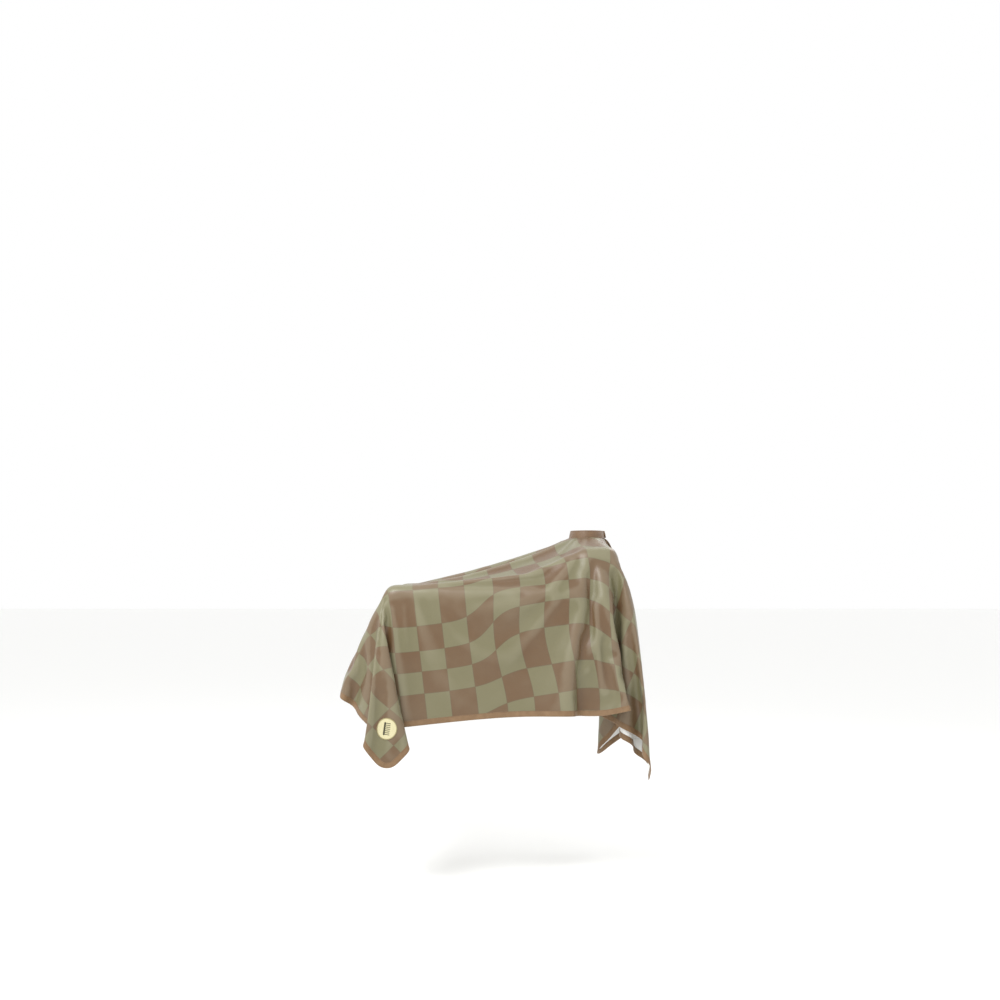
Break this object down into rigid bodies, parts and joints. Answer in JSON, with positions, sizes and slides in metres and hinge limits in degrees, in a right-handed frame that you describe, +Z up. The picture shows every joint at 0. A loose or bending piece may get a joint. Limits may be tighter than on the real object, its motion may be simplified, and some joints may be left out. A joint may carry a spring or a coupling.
{
  "type": "barber cape",
  "caption": "Checked cloth cape that hangs from a snap-fastened neckband over a seated customer and the chair, with bound edges, an open back and a round label.",
  "frame": {"origin": "centre of the neck opening, in the plane where the neckband meets the cloth", "axes": "+X is the way the wearer faces and the longest extent, +Y is the wearer's left, +Z is up through the neck opening"},
  "size_m": [1.084, 0.828, 0.8513],
  "materials": {
    "printed_polyester": "satin",
    "hem_tape": "matte",
    "band_polyester": "matte",
    "lining_polyester": "matte",
    "interlining_felt": "matte",
    "snap_brass": "polished",
    "label_twill": "matte",
    "label_thread": "satin",
    "emblem_thread": "satin"
  },
  "bodies": {
    "cape": {"cape_panel": "printed_polyester", "hem_binding": "hem_tape", "slit_binding_right": "hem_tape", "slit_binding_left": "hem_tape", "neckband_facing": "lining_polyester", "neckband_interlining": "interlining_felt", "neckband_outer": "band_polyester", "tab_anchor": "band_polyester", "label_patch": "label_twill", "label_border": "label_thread", "label_comb": "emblem_thread", "snap_stud_1": "snap_brass", "snap_stud_back_1": "snap_brass", "snap_stud_2": "snap_brass", "snap_stud_back_2": "snap_brass", "snap_stud_3": "snap_brass", "snap_stud_back_3": "snap_brass", "snap_stud_4": "snap_brass", "snap_stud_back_4": "snap_brass"},
    "closure_tab": {"tab_outer": "band_polyester", "tab_lining": "lining_polyester", "snap_cap_1": "snap_brass", "snap_cap_2": "snap_brass", "snap_socket_1": "snap_brass", "snap_socket_2": "snap_brass"}
  },
  "joints": [
    {"name": "closure_tab_hinge", "type": "hinge", "parent": "cape", "child": "closure_tab", "pos_m": [-0.0681, 0.00785, 0], "axis": [-0.2139, 0.0202, -0.9766], "range_deg": [0, 110]}
  ]
}
